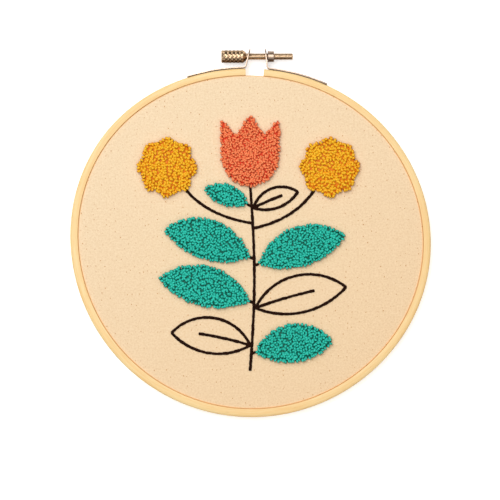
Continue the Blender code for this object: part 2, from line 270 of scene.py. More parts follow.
def leaf_outline(leaf, stalk_length=LEAF_STALK, steps=16):
    """Two arcs between a leaf's stalk and its tip, the upper one the rounder."""
    stalk, along, across = leaf_axes(leaf, stalk_length)
    points = []
    for way, share in ((1, 0.5 + LEAF_BOW), (-1, 0.5 - LEAF_BOW)):
        rise = leaf.width * share
        radius = (leaf.length ** 2 / 4 + rise ** 2) / (2 * rise)
        half_angle = math.asin(leaf.length / 2 / radius)
        for step in range(steps):
            angle = way * half_angle * (2 * step / steps - 1)
            forward = leaf.length / 2 + radius * math.sin(angle)
            sideways = way * (radius * math.cos(angle) - radius + rise)
            points.append(stalk + along * forward + across * sideways)
    return points


def blossom_outline(blossom, steps=64):
    """Circle with a row of shallow round lobes."""
    points = []
    for step in range(steps):
        angle = math.tau * step / steps
        radius = blossom.radius * (1 + BLOSSOM_LOBE_DEPTH * math.cos(BLOSSOM_LOBES * angle))
        points.append(Vector((blossom.x, blossom.y)) + polar(radius, angle))
    return points


def tulip_outline(steps=16):
    """Round bowl below, three points above."""
    middle = stem_x(STEM_TOP)
    top = TULIP_Y + TULIP_HEIGHT / 2
    bowl = TULIP_HEIGHT * TULIP_BOWL
    points = []
    for step in range(steps + 1):
        angle = math.pi * (1 + step / steps)
        across = TULIP_WIDTH / 2 * math.cos(angle)
        points.append(Vector((middle + across, TULIP_Y - TULIP_HEIGHT / 2 + bowl * (1 + math.sin(angle)))))
    for point in TULIP_POINTS:
        across = point.across_share * TULIP_WIDTH
        points.append(Vector((middle + across, top - point.down_share * TULIP_HEIGHT)))
    return points


def bent_line(start, bend, end, steps=24):
    """Quadratic curve from start to end, drawn towards bend."""
    shares = (step / steps for step in range(steps + 1))
    return [start * (1 - s) ** 2 + bend * 2 * s * (1 - s) + end * s ** 2 for s in shares]


def line_paths():
    """Open lines of the black stitching, about the hoop's centre."""
    heights = np.linspace(STEM_FOOT, STEM_TOP - 1.0 * MM, 45)
    paths = [[Vector((stem_x(height), height)) for height in heights]]
    for blossom in BLOSSOMS:
        foot = Vector((stem_x(blossom.stem_foot), blossom.stem_foot))
        bend = Vector((blossom.bend_x, blossom.bend_y))
        centre = Vector((blossom.x, blossom.y))
        rim = centre + (bend - centre).normalized() * blossom.radius
        paths.append(bent_line(foot, bend, rim))
    for leaf in LINE_LEAVES:
        points = leaf_outline(leaf, LINE_STALK)
        tip = len(points) // 2
        paths.append(points[:tip + 1])
        paths.append(points[tip:] + points[:1])
        stalk, along, across = leaf_axes(leaf, LINE_STALK)
        middle = across * leaf.width * LEAF_BOW
        vein_end = stalk + along * leaf.length * 0.66 + middle
        paths.append(bent_line(stalk, stalk + along * leaf.length * 0.3 + middle, vein_end))
    for leaf in PILE_LEAVES:
        stalk = leaf_axes(leaf, LEAF_STALK)[0]
        foot = Vector((stem_x(leaf.height), leaf.height))
        paths.append([foot, stalk])
    return paths


def cloth_wave(x, y):
    """Slight unevenness of the taut cloth, still where the rings clamp it."""
    angle = math.atan2(y, x)
    inwards = outline(angle) - math.hypot(x, y)
    freedom = min(1.0, max(0.0, (inwards - CLAMPED) / WAVE_FADE))
    broad = noise.noise(Vector((x, y, 0.0)) * 38)
    fine = noise.noise(Vector((x + 1.0, y, 0.0)) * 110)
    return freedom * (0.20 * MM * broad + 0.05 * MM * fine)


# Modelling


def begin(add, **settings):
    """Deselect everything, add a primitive and edit it with all of it selected."""
    bpy.ops.object.select_all(action="DESELECT")
    add(**settings)
    bpy.ops.object.transform_apply(location=True, rotation=True, scale=True)
    bpy.ops.object.mode_set(mode="EDIT")
    bpy.ops.mesh.select_mode(type="VERT")
    bpy.ops.mesh.select_all(action="SELECT")
    return bpy.context.object


def pick(piece, test):
    """Select the vertices whose place passes a test, and the edges and faces between them."""
    bm = bmesh.from_edit_mesh(piece.data)
    for vert in bm.verts:
        vert.select = test(vert.co)
    bm.select_flush_mode()
    bmesh.update_edit_mesh(piece.data)


def extrude_row(move=(0, 0, 0), stretch=(1, 1, 1), centre=(0, 0, 0)):
    """Extrude what is selected, move it, and stretch it about a centre."""
    bpy.ops.mesh.extrude_region_move(TRANSFORM_OT_translate={"value": move})
    bpy.ops.transform.resize(value=stretch, center_override=centre)


def close_up():
    """Merge doubled points, close open ends and point the faces outwards."""
    bpy.ops.mesh.select_all(action="SELECT")
    bpy.ops.mesh.remove_doubles(threshold=MERGE_WITHIN)
    bpy.ops.mesh.fill_holes(sides=0)
    bpy.ops.mesh.select_all(action="SELECT")
    bpy.ops.mesh.normals_make_consistent(inside=False)
    bpy.ops.object.mode_set(mode="OBJECT")


def apply_modifier(piece, name, kind, **settings):
    bpy.context.view_layer.objects.active = piece
    modifier = piece.modifiers.new(name, kind)
    for key, value in settings.items():
        setattr(modifier, key, value)
    bpy.ops.object.modifier_apply(modifier=modifier.name)


def complete(piece, name, material, slot, *nodes, body="hoop", move=HOOP_CENTRE, smooth_deg=50):
    """Shade, name and place a piece, give it its material, and let it ride on its body."""
    bpy.ops.object.select_all(action="DESELECT")
    piece.select_set(True)
    bpy.context.view_layer.objects.active = piece
    piece.location = move
    bpy.ops.object.transform_apply(location=True, rotation=True, scale=True)
    bpy.ops.object.shade_smooth_by_angle(angle=math.radians(smooth_deg))
    piece.name = name
    piece.data.name = name
    if "UVMap" in piece.data.uv_layers:
        piece.data.uv_layers.remove(piece.data.uv_layers["UVMap"])
    piece.data.materials.clear()
    piece.data.materials.append(material)
    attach(piece, body)
    if nodes:
        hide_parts(*nodes)
    return piece


def fit_to_outline(piece):
    """Move a piece that was made round the mean circle onto the hoop's outline."""
    for vert in piece.data.vertices:
        angle = math.atan2(vert.co.y, vert.co.x)
        offset = vert.co.xy.length - MEAN_RADIUS
        depth_share = min(1.0, max(0.0, -offset / RING_WALL))
        reach_share = min(1.0, vert.co.xy.length / (0.5 * MEAN_RADIUS))
        wave = outline(angle) - MEAN_RADIUS - depth_share * wall_swing(angle)
        place = polar(vert.co.xy.length + reach_share * wave, angle)
        vert.co = (place.x, place.y, vert.co.z)


def copies_of(shape, places, tints, name):
    """One mesh of many copies of a shape, with a tint for each copy. The shape is used up."""
    points = np.array([vert.co for vert in shape.data.vertices])
    faces = [tuple(face.vertices) for face in shape.data.polygons]
    twists = [tuple(corner.uv) for corner in shape.data.uv_layers["twist"].data]
    bpy.data.objects.remove(shape)
    all_points = []
    all_faces = []
    for count, place in enumerate(places):
        turn = np.array(place)
        all_points.append(points @ turn[:3, :3].T + turn[:3, 3])
        first = count * len(points)
        all_faces += [tuple(first + corner for corner in face) for face in faces]
    mesh = bpy.data.meshes.new(name)
    mesh.from_pydata(np.concatenate(all_points).tolist(), [], all_faces)
    tint = mesh.attributes.new("tint", "FLOAT", "POINT")
    tint.data.foreach_set("value", np.repeat(np.array(tints, np.float32), len(points)))
    twist = mesh.uv_layers.new(name="twist")
    twist.data.foreach_set("uv", np.tile(np.array(twists, np.float32), (len(tints), 1)).ravel())
    piece = bpy.data.objects.new(name, mesh)
    bpy.context.scene.collection.objects.link(piece)
    return piece


def map_twist(shape, yarn_place):
    """UV map of a length of yarn: turns round it, and metres along it."""
    layer = shape.data.uv_layers[0]
    layer.name = "twist"
    for face in shape.data.polygons:
        places = [yarn_place(shape.data.vertices[index].co) for index in face.vertices]
        wraps = max(turn for turn, along in places) - min(turn for turn, along in places) > 0.5
        for corner, (turn, along) in zip(face.loop_indices, places):
            layer.data[corner].uv = (turn + 1 if wraps and turn < 0 else turn, along)


def join(pieces):
    bpy.ops.object.select_all(action="DESELECT")
    for piece in pieces:
        piece.select_set(True)
    bpy.context.view_layer.objects.active = pieces[0]
    bpy.ops.object.join()
    return pieces[0]


def turned(rows, columns, closed_round=False):
    """Body made of rows (x, radius) round the X axis, from its left end to its right."""
    piece = begin(
        bpy.ops.mesh.primitive_circle_add,
        vertices=columns,
        radius=rows[0][1],
        location=(rows[0][0], 0, 0),
        rotation=(0, math.radians(90), 0),
        fill_type="NOTHING",
    )
    for (x, radius), (next_x, next_radius) in zip(rows, rows[1:]):
        scale = next_radius / radius
        extrude_row(move=(next_x - x, 0, 0), stretch=(1, scale, scale), centre=(next_x, 0, 0))
    if closed_round:
        bpy.ops.mesh.select_all(action="SELECT")
        bpy.ops.mesh.remove_doubles(threshold=MERGE_WITHIN)
    close_up()
    return piece


# Materials


class Nodes:
    """Adds nodes to a tree and links values or sockets to their inputs."""

    def __init__(self, tree):
        self.tree = tree

    def add(self, kind, *inputs, out=0, **settings):
        node = self.tree.nodes.new(kind)
        for key, value in settings.items():
            if key in node.bl_rna.properties:
                setattr(node, key, value)
            else:
                self.feed(node.inputs[key.replace("_", " ")], value)
        for socket, value in zip(node.inputs, inputs):
            if value is not None:
                self.feed(socket, value)
        return node.outputs[out]

    def feed(self, socket, value):
        if isinstance(value, bpy.types.NodeSocket):
            self.tree.links.new(value, socket)
        else:
            socket.default_value = value

    def math(self, operation, *inputs, clamp=False):
        return self.add("ShaderNodeMath", *inputs, operation=operation, use_clamp=clamp)

    def vector(self, operation, *inputs, out=0):
        return self.add("ShaderNodeVectorMath", *inputs, operation=operation, out=out)

    def noise(self, place, scale, detail=2.0, roughness=0.5):
        return self.add(
            "ShaderNodeTexNoise", Vector=place, Scale=scale, Detail=detail, Roughness=roughness
        )

    def ramp(self, value, low, high, low_to=0.0, high_to=1.0):
        return self.add("ShaderNodeMapRange", value, low, high, low_to, high_to)

    def mix(self, share, first, second, blend="MIX"):
        node = self.tree.nodes.new("ShaderNodeMix")
        node.data_type = "RGBA"
        node.blend_type = blend
        self.feed(node.inputs["Factor"], share)
        self.feed(node.inputs[6], first)
        self.feed(node.inputs[7], second)
        return node.outputs[2]


def effect_group(name, inputs, outputs, wire):
    """Shared effect: a node group with named sockets, made once and wired by a function."""
    group = bpy.data.node_groups.get(name)
    if group:
        return group
    group = bpy.data.node_groups.new(name, "ShaderNodeTree")
    for socket, kind, default in inputs:
        item = group.interface.new_socket(socket, in_out="INPUT", socket_type=kind)
        if default is not None:
            item.default_value = default
    for socket in outputs:
        group.interface.new_socket(socket, in_out="OUTPUT", socket_type="NodeSocketFloat")
    source = group.nodes.new("NodeGroupInput")
    sink = group.nodes.new("NodeGroupOutput")
    results = wire(Nodes(group), source.outputs)
    for socket, value in zip(sink.inputs, results):
        group.links.new(value, socket)
    return group


def place_group(nodes, group, **inputs):
    node = nodes.tree.nodes.new("ShaderNodeGroup")
    node.node_tree = group
    for key, value in inputs.items():
        nodes.feed(node.inputs[key.replace("_", " ")], value)
    return node.outputs


def grain_effect():
    """Fibres that run along a bent strip of wood, read from its own unbent place."""

    def wire(nodes, source):
        along = nodes.vector("MULTIPLY", source["Place"], (0.035, 1.0, 1.0))
        fibres = nodes.noise(along, 2600.0, detail=3.0, roughness=0.65)
        bands = nodes.noise(along, 620.0, detail=2.0)
        dashes = nodes.noise(nodes.vector("MULTIPLY", source["Place"], (0.10, 1.0, 1.0)), 1900.0)
        broad = nodes.noise(nodes.vector("MULTIPLY", source["Place"], (1.0, 2.0, 2.0)), 26.0)
        streaks = nodes.math(
            "ADD", nodes.math("MULTIPLY", fibres, 0.6), nodes.math("MULTIPLY", bands, 0.4)
        )
        return streaks, nodes.ramp(dashes, 0.66, 0.76), broad

    sockets = (("Place", "NodeSocketVector", None),)
    return effect_group("Wood grain", sockets, ("Streaks", "Pores", "Broad"), wire)


def weave_effect():
    """Plain weave: threads over and under each other, with thicker ones here and there."""

    def wire(nodes, source):
        uneven = nodes.noise(source["Place"], 55.0, detail=1.0)
        shift = nodes.math("MULTIPLY", nodes.math("SUBTRACT", uneven, 0.5), 0.0016)
        moved = nodes.vector("ADD", source["Place"], nodes.add("ShaderNodeCombineXYZ", shift, shift))
        split = nodes.vector("SCALE", moved)
        nodes.feed(split.node.inputs["Scale"], source["Threads"])
        parts = nodes.add("ShaderNodeSeparateXYZ", split).node.outputs
        turns = [nodes.math("MULTIPLY", parts[axis], math.pi) for axis in (0, 1)]
        warp = nodes.math("ABSOLUTE", nodes.math("SINE", turns[0]))
        weft = nodes.math("ABSOLUTE", nodes.math("SINE", turns[1]))
        over = nodes.math("MULTIPLY", nodes.math("COSINE", turns[0]), nodes.math("COSINE", turns[1]))
        lift = nodes.ramp(over, -1.0, 1.0)
        height = nodes.math(
            "ADD", nodes.math("MULTIPLY", warp, lift),
            nodes.math("MULTIPLY", weft, nodes.math("SUBTRACT", 1.0, lift)),
        )
        slub_x = nodes.noise(nodes.vector("MULTIPLY", source["Place"], (0.06, 1.0, 1.0)), 1500.0)
        slub_y = nodes.noise(nodes.vector("MULTIPLY", source["Place"], (1.0, 0.06, 1.0)), 1500.0)
        slubs = nodes.math("MULTIPLY", nodes.math("ADD", slub_x, slub_y), 0.5)
        knots = nodes.noise(source["Place"], 950.0, detail=3.0, roughness=0.7)
        return height, slubs, knots

    sockets = (("Place", "NodeSocketVector", None), ("Threads", "NodeSocketFloat", 2200.0))
    return effect_group("Plain weave", sockets, ("Height", "Slubs", "Knots"), wire)


def fleck_effect():
    """Small seed flecks, some in each part of the cloth, of uneven size and strength."""

    def wire(nodes, source):
        ragged = nodes.add("ShaderNodeTexNoise", Vector=source["Place"], Scale=2600.0, out=1)
        shift = nodes.vector("MULTIPLY", nodes.vector("SUBTRACT", ragged, (0.5, 0.5, 0.5)), 3 * (0.6 * MM,))
        place = nodes.vector("ADD", nodes.vector("MULTIPLY", source["Place"], (1.0, 0.75, 1.0)), shift)
        spots = nodes.tree.nodes.new("ShaderNodeTexVoronoi")
        spots.voronoi_dimensions = "2D"
        nodes.feed(spots.inputs["Vector"], place)
        nodes.feed(spots.inputs["Scale"], source["Count"])
        parts = nodes.add("ShaderNodeSeparateColor", spots.outputs["Color"]).node.outputs
        size = nodes.ramp(parts[0], 0.50, 1.0, 0.05, 0.13)
        near = nodes.math("SUBTRACT", 1.0, nodes.math("DIVIDE", spots.outputs["Distance"], size), clamp=True)
        chosen = nodes.ramp(parts[1], 0.3, 0.7)
        return (nodes.math("MULTIPLY", nodes.math("POWER", near, 0.3), chosen),)

    sockets = (("Place", "NodeSocketVector", None), ("Count", "NodeSocketFloat", 400.0))
    return effect_group("Seed flecks", sockets, ("Mask",), wire)


def fuzz_effect():
    """Fine hairs, uneven thickness and the ridges of two twisted plies of spun yarn."""

    def wire(nodes, source):
        hairs = nodes.noise(source["Place"], 5200.0, detail=3.0)
        clumps = nodes.noise(source["Place"], 1300.0)
        parts = nodes.add("ShaderNodeSeparateXYZ", source["Twist"]).node.outputs
        along = nodes.math("DIVIDE", parts[1], source["Pitch"])
        ridge = nodes.math("ABSOLUTE", nodes.math("SINE", nodes.math(
            "MULTIPLY", nodes.math("ADD", parts[0], along), math.tau
        )))
        return hairs, clumps, ridge

    sockets = (
        ("Place", "NodeSocketVector", None),
        ("Twist", "NodeSocketVector", None),
        ("Pitch", "NodeSocketFloat", 2.4 * MM),
    )
    return effect_group("Yarn fuzz", sockets, ("Hairs", "Clumps", "Plies"), wire)


def tarnish_effect():
    """Dull patches and fine scratches on plated metal."""

    def wire(nodes, source):
        patches = nodes.noise(source["Place"], 420.0, detail=3.0, roughness=0.6)
        scratches = nodes.noise(
            nodes.vector("MULTIPLY", source["Place"], (0.08, 1.0, 1.0)), 5200.0, detail=2.0
        )
        return nodes.ramp(patches, 0.42, 0.68), scratches

    sockets = (("Place", "NodeSocketVector", None),)
    return effect_group("Metal tarnish", sockets, ("Patches", "Scratches"), wire)


def new_material(name, roughness=0.5, metallic=0.0, **settings):
    """Empty Principled material: its nodes and its shader, or no nodes where it is made already."""
    old = bpy.data.materials.get(name)
    if old:
        return old, None, None
    material = bpy.data.materials.new(name)
    material.use_nodes = True
    shader = material.node_tree.nodes["Principled BSDF"]
    shader.inputs["Roughness"].default_value = roughness
    shader.inputs["Metallic"].default_value = metallic
    for key, value in settings.items():
        shader.inputs[key.replace("_", " ")].default_value = value
    return material, Nodes(material.node_tree), shader


def add_bump(nodes, shader, height, distance):
    bump = nodes.add("ShaderNodeBump", Strength=1.0, Distance=distance, Height=height)
    nodes.feed(shader.inputs["Normal"], bump)


def bamboo_material(name, colour, streak_colour, roughness, arris):
    """Bamboo strip with fibres and pores, and painted shade, browner, along its inner arris at that place
    across it.
    """
    material, nodes, shader = new_material(name, roughness, Specular_IOR_Level=0.4)
    if shader is None:
        return material
    place = nodes.add("ShaderNodeAttribute", attribute_name="grain", out=1)
    streaks, pores, broad = place_group(nodes, grain_effect(), Place=place)
    shaded = nodes.mix(nodes.ramp(streaks, 0.40, 0.62, 0.0, 0.75), colour, streak_colour)
    warm = nodes.mix(nodes.ramp(broad, 0.35, 0.75, 0.0, 0.30), shaded, streak_colour)
    dotted = nodes.mix(nodes.math("MULTIPLY", pores, 0.35), warm, srgb(176, 122, 66))
    across = nodes.add("ShaderNodeSeparateXYZ", place, out=1)
    # Painted shade: a browner band along the strip's inner arris, the shade of the groove by the cloth.
    groove_shade = nodes.ramp(across, arris + 0.35 * MM, arris + 0.05 * MM, 0.0, 0.8)
    nodes.feed(shader.inputs["Base Color"], nodes.mix(groove_shade, dotted, srgb(233, 177, 112)))
    nodes.feed(shader.inputs["Roughness"], nodes.ramp(streaks, 0.3, 0.7, roughness - 0.08, roughness + 0.10))
    add_bump(nodes, shader, streaks, 0.06 * MM)
    return material


def cloth_material():
    material, nodes, shader = new_material(
        "cotton_weave", 0.88, Sheen_Weight=0.12, Sheen_Roughness=0.6, Specular_IOR_Level=0.25
    )
    if shader is None:
        return material
    place = nodes.add("ShaderNodeUVMap", uv_map="weave")
    height, slubs, knots = place_group(nodes, weave_effect(), Place=place, Threads=2200.0)
    flecks = place_group(nodes, fleck_effect(), Place=place, Count=400.0)[0]
    # Painted shade in the weave's low places; the same darker colour gives the slubs and knots their uneven
    # tone.
    painted_shade_and_tone = tuple(channel * share for channel, share in zip(colours().cloth[:3], (0.84, 0.76, 0.64)))
    woven = nodes.mix(nodes.ramp(height, 0.25, 0.95, 0.22, 0.0), tuple(colours().cloth), (*painted_shade_and_tone, 1.0))
    uneven = nodes.mix(nodes.ramp(slubs, 0.38, 0.62, 0.22, 0.0), woven, (*painted_shade_and_tone, 1.0))
    knotty = nodes.mix(nodes.ramp(knots, 0.40, 0.66, 0.0, 0.75), uneven, (*painted_shade_and_tone, 1.0))
    # Painted shade: towards +X and -Y the cloth is darker and yellower.
    drift = nodes.vector("DOT_PRODUCT", place, (0.5, -0.8, 0.0), out=1)
    shaded_side = nodes.mix(nodes.ramp(drift, -0.08, 0.09), knotty, tuple(colours().cloth_shaded_side), blend="MULTIPLY")
    # Painted shade: the cloth is browner along its roll into the groove beside the ring.
    reach = nodes.vector("LENGTH", place, out=1)
    fold = MEAN_RADIUS + CLOTH_OUTSIDE - CLOTH_ROLL
    from_fold = nodes.math("ABSOLUTE", nodes.math("SUBTRACT", reach, fold + 0.4 * MM))
    fold_shade = nodes.mix(nodes.ramp(from_fold, 0.7 * MM, 0.2 * MM), shaded_side, srgb(246, 198, 138))
    specked = nodes.mix(nodes.math("MULTIPLY", flecks, 0.95), fold_shade, tuple(colours().cloth_fleck))
    nodes.feed(shader.inputs["Base Color"], specked)
    relief = nodes.math("ADD", nodes.math("ADD", height, slubs), nodes.math("MULTIPLY", knots, 1.5))
    add_bump(nodes, shader, relief, 0.07 * MM)
    return material


def yarn_material(name, lit, painted_shade_and_tone, fuzz=0.09 * MM, sheen=0.03):
    """Yarn with painted light on the loops' tops, and painted shade, deeper and a little darker, low between
    them.
    """
    material, nodes, shader = new_material(
        name, 0.44, Sheen_Weight=sheen, Sheen_Roughness=0.5, Sheen_Tint=tuple(lit), Specular_IOR_Level=0.24
    )
    if shader is None:
        return material
    place = nodes.add("ShaderNodeTexCoord", out=3)
    twist = nodes.add("ShaderNodeUVMap", uv_map="twist")
    hairs, clumps, plies = place_group(nodes, fuzz_effect(), Place=place, Twist=twist, Pitch=2.4 * MM)
    tint = nodes.add("ShaderNodeAttribute", attribute_name="tint", out=2)
    height = nodes.add("ShaderNodeSeparateXYZ", place, out=2)
    # Painted light and shade: by height, the lit colour on the loops' tops and the deep colour low between
    # them; each loop's random tint and the ply ridges shift it.
    lift = nodes.ramp(height, CLOTH_FRONT + 1.2 * MM, PILE_TOP - 0.3 * MM)
    speck = nodes.math("MULTIPLY", nodes.math("SUBTRACT", plies, 0.7), 0.35)
    share = nodes.math("ADD", lift, nodes.math("ADD", nodes.math("MULTIPLY", tint, 0.18), speck), clamp=True)
    # Painted shade: everything low between the loops is a little darker still.
    low_shade = nodes.ramp(height, CLOTH_FRONT + 1.3 * MM, CLOTH_FRONT + 1.9 * MM, 0.86, 1.0)
    shade = nodes.add("ShaderNodeCombineXYZ", low_shade, low_shade, low_shade)
    painted_lit_and_shaded = nodes.mix(share, tuple(painted_shade_and_tone), tuple(lit))
    nodes.feed(shader.inputs["Base Color"], nodes.mix(1.0, painted_lit_and_shaded, shade, blend="MULTIPLY"))
    relief = nodes.math("ADD", nodes.math("ADD", hairs, clumps), nodes.math("MULTIPLY", plies, 2.5))
    add_bump(nodes, shader, relief, fuzz)
    return material


def thread_material():
    material, nodes, shader = new_material("black_twist", 0.7, Specular_IOR_Level=0.05)
    if shader is None:
        return material
    place = nodes.add("ShaderNodeTexCoord", out=3)
    twist = nodes.add("ShaderNodeUVMap", uv_map="twist")
    hairs, _, plies = place_group(nodes, fuzz_effect(), Place=place, Twist=twist, Pitch=1.7 * MM)
    tint = nodes.add("ShaderNodeAttribute", attribute_name="tint", out=2)
    # Painted highlight: the thread's ply ridges are brown and its troughs black, shifted by each stitch's
    # random tint.
    share = nodes.math("ADD", nodes.ramp(plies, 0.2, 1.0), nodes.math("MULTIPLY", tint, 0.2), clamp=True)
    ridge_highlight = srgb(46, 22, 12)
    nodes.feed(shader.inputs["Base Color"], nodes.mix(share, tuple(colours().black), ridge_highlight))
    relief = nodes.math("ADD", hairs, nodes.math("MULTIPLY", plies, 3.0))
    add_bump(nodes, shader, relief, 0.06 * MM)
    return material


def metal_material(name, colour, dull_colour, roughness):
    """Plated metal, duller in patches, and dark where the mesh is marked as a hollow: grime there, and
    painted shade.
    """
    material, nodes, shader = new_material(
        name, roughness, metallic=1.0, Specular_Tint=(0.4, 0.36, 0.32, 1.0)
    )
    if shader is None:
        return material
    place = nodes.add("ShaderNodeTexCoord", out=3)
    patches, scratches = place_group(nodes, tarnish_effect(), Place=place)
    worn = nodes.mix(nodes.math("MULTIPLY", patches, 0.3), tuple(colour), dull_colour)
    hollow = nodes.add("ShaderNodeAttribute", attribute_name="hollow", out=2)
    # Grime and painted shade: the marked hollows of the knurl and the thread are darker.
    grime_and_shade = nodes.ramp(hollow, 0.3, 1.0, 0.0, 0.8)
    nodes.feed(shader.inputs["Base Color"], nodes.mix(grime_and_shade, worn, srgb(84, 58, 40)))
    nodes.feed(shader.inputs["Roughness"], nodes.ramp(patches, 0.0, 1.0, roughness, roughness + 0.08))
    add_bump(nodes, shader, scratches, 0.01 * MM)
    return material


# Pieces


def wooden_ring(inside, outside, front, start_deg, sweep_deg):
    """Bent strip of wood: its rounded section spun along the hoop, with its grain's own place."""
    start = math.radians(start_deg)
    middle = MEAN_RADIUS + (inside + outside) / 2
    wall = outside - inside
    ring = begin(
        bpy.ops.mesh.primitive_plane_add,
        size=1.0,
        location=(middle, 0, front / 2),
        rotation=(math.radians(90), 0, 0),
    )
    bpy.ops.transform.resize(value=(wall, 1, front), center_override=(middle, 0, front / 2))
    for test, edge, segments in (
        (lambda co: co.z > front / 2 and co.x > middle, sizes().outer_edge, 5),
        (lambda co: co.z > front / 2 and co.x < middle - wall / 4, sizes().inner_edge, 3),
        (lambda co: co.z < front / 4, sizes().back_edge, 3),
    ):
        pick(ring, test)
        bpy.ops.mesh.bevel(offset=edge, segments=segments, affect="VERTICES")
    bpy.ops.mesh.select_all(action="SELECT")
    bpy.ops.mesh.delete(type="ONLY_FACE")
    bpy.ops.mesh.select_all(action="SELECT")
    bpy.ops.mesh.spin(
        steps=RING_STEPS, angle=math.radians(sweep_deg), center=(0, 0, 0), axis=(0, 0, -1)
    )
    close_up()
    ring.data.transform(Matrix.Rotation(start, 4, "Z"))
    keep_grain(ring, start)
    fit_to_outline(ring)
    return ring


def keep_grain(ring, start):
    """Store each point's place in the straight strip: along it, across it and up."""
    margin = 0.001
    grain = ring.data.attributes.new("grain", "FLOAT_VECTOR", "POINT")
    for vert, item in zip(ring.data.vertices, grain.data):
        turn = (math.atan2(vert.co.y, vert.co.x) - start + margin) % math.tau - margin
        item.vector = (turn * MEAN_RADIUS, vert.co.xy.length - MEAN_RADIUS, vert.co.z)


class HOOPART_OT_outer_ring(bpy.types.Operator):
    """Split bamboo ring round the cloth"""

    bl_idname = "hoop_art.outer_ring"
    bl_label = "Outer Ring"

    def execute(self, context):
        sweep = 360 + SPLIT_RIGHT_DEG - SPLIT_LEFT_DEG
        ring = wooden_ring(-RING_WALL, 0.0, RING_FRONT, SPLIT_LEFT_DEG, sweep)
        material = bamboo_material(
            "bamboo_strip", tuple(colours().bamboo), tuple(colours().bamboo_streak), 0.42,
            -RING_WALL,
        )
        complete(ring, "outer_ring_bamboo", material, "bamboo", "outer_ring")
        return {"FINISHED"}


class HOOPART_OT_inner_ring(bpy.types.Operator):
    """Closed bamboo ring inside the cloth, with the fine seam where its strip meets"""

    bl_idname = "hoop_art.inner_ring"
    bl_label = "Inner Ring"

    def execute(self, context):
        inside = INNER_OUTSIDE - INNER_WALL
        front = INNER_FRONT + 0.4 * MM
        ring = wooden_ring(inside, INNER_OUTSIDE, front, SEAM_AT_DEG, 360 - SEAM_DEG)
        tone = tuple(channel * 0.93 for channel in colours().bamboo[:3])
        material = bamboo_material(
            "bamboo_inner_strip", (*tone, 1.0), tuple(colours().bamboo_streak), 0.5, inside
        )
        complete(ring, "inner_ring_bamboo", material, "inner_bamboo", "inner_ring")
        return {"FINISHED"}


def cloth_rows():
    """Rows of the cloth from its hem to its middle: (radius, height, radius when laid out flat)."""
    outside = MEAN_RADIUS + CLOTH_OUTSIDE
    roll_z = CLOTH_FRONT - CLOTH_ROLL
    flat_edge = outside - CLOTH_ROLL
    roll_length = CLOTH_ROLL * math.pi / 2
    rows = []
    for height in np.linspace(CLOTH_HEM, roll_z, 5):
        rows.append((outside, height, flat_edge + roll_length + roll_z - height))
    for step in range(1, 7):
        angle = math.pi / 2 * step / 6
        rows.append((
            flat_edge + CLOTH_ROLL * math.cos(angle),
            roll_z + CLOTH_ROLL * math.sin(angle),
            flat_edge + roll_length * (1 - step / 6),
        ))
    count = round(flat_edge / CLOTH_ROW)
    for step in range(1, count):
        radius = flat_edge * (1 - step / count)
        rows.append((radius, CLOTH_FRONT, radius))
    return rows


class HOOPART_OT_cloth(bpy.types.Operator):
    """Unbleached cotton, drawn over the inner ring and down its outside"""

    bl_idname = "hoop_art.cloth"
    bl_label = "Cloth"

    def execute(self, context):
        rows = cloth_rows()
        cloth = begin(
            bpy.ops.mesh.primitive_circle_add,
            vertices=CLOTH_STEPS,
            radius=rows[0][0],
            location=(0, 0, rows[0][1]),
            fill_type="NOTHING",
        )
        for (radius, height, _), (next_radius, next_height, _) in zip(rows, rows[1:]):
            scale = next_radius / radius
            extrude_row(
                move=(0, 0, next_height - height), stretch=(scale, scale, 1), centre=(0, 0, next_height)
            )
        extrude_row()
        bpy.ops.mesh.merge(type="CENTER")
        bpy.ops.mesh.select_all(action="SELECT")
        bpy.ops.mesh.normals_make_consistent(inside=False)
        bpy.ops.object.mode_set(mode="OBJECT")
        self.lay_out_weave(cloth, rows)
        fit_to_outline(cloth)
        for vert in cloth.data.vertices:
            if vert.co.z > CLOTH_FRONT - SKIM:
                vert.co.z += cloth_wave(vert.co.x, vert.co.y)
        apply_modifier(cloth, "thickness", "SOLIDIFY", thickness=CLOTH_THICKNESS, offset=-1.0)
        complete(cloth, "stretched_cloth", cloth_material(), "natural_cloth", "cloth")
        reach = rows[0][2] - MEAN_RADIUS
        angles = [math.tau * step / CLOTH_STEPS for step in range(CLOTH_STEPS)]
        edge = [polar(outline(angle) + reach, angle) for angle in angles]
        return {"FINISHED"}

    def lay_out_weave(self, cloth, rows):
        """UV map of the cloth laid flat, in metres, so that the weave runs straight over the ring."""
        by_place = {(round(radius * 1e5), round(height * 1e5)): flat for radius, height, flat in rows}
        flat_places = []
        for vert in cloth.data.vertices:
            radius = vert.co.xy.length
            flat = by_place.get((round(radius * 1e5), round(vert.co.z * 1e5)), radius)
            place = polar(flat, math.atan2(vert.co.y, vert.co.x))
            flat_places.append(place)
        weave = cloth.data.uv_layers[0]
        weave.name = "weave"
        for corner, item in zip(cloth.data.loops, weave.data):
            item.uv = flat_places[corner.vertex_index]


def inside_outline(points, edge):
    """Which points lie inside a closed outline."""
    x, y = points[:, 0], points[:, 1]
    within = np.zeros(len(points), bool)
    for (ax, ay), (bx, by) in zip(edge, np.roll(edge, -1, axis=0)):
        crosses = (ay > y) != (by > y)
        at_x = ax + (y - ay) * (bx - ax) / (by - ay if by != ay else 1e-12)
        within ^= crosses & (x < at_x)
    return within


def nearest_on_outline(points, edge):
    """For each point, the nearest place on a closed outline."""
    best = np.full(len(points), np.inf)
    nearest = np.zeros_like(points)
    for a, b in zip(edge, np.roll(edge, -1, axis=0)):
        along = b - a
        share = np.clip(((points - a) @ along) / (along @ along), 0, 1)
        foot = a + share[:, None] * along
        distance = np.linalg.norm(points - foot, axis=1)
        closer = distance < best
        best[closer] = distance[closer]
        nearest[closer] = foot[closer]
    return nearest, best


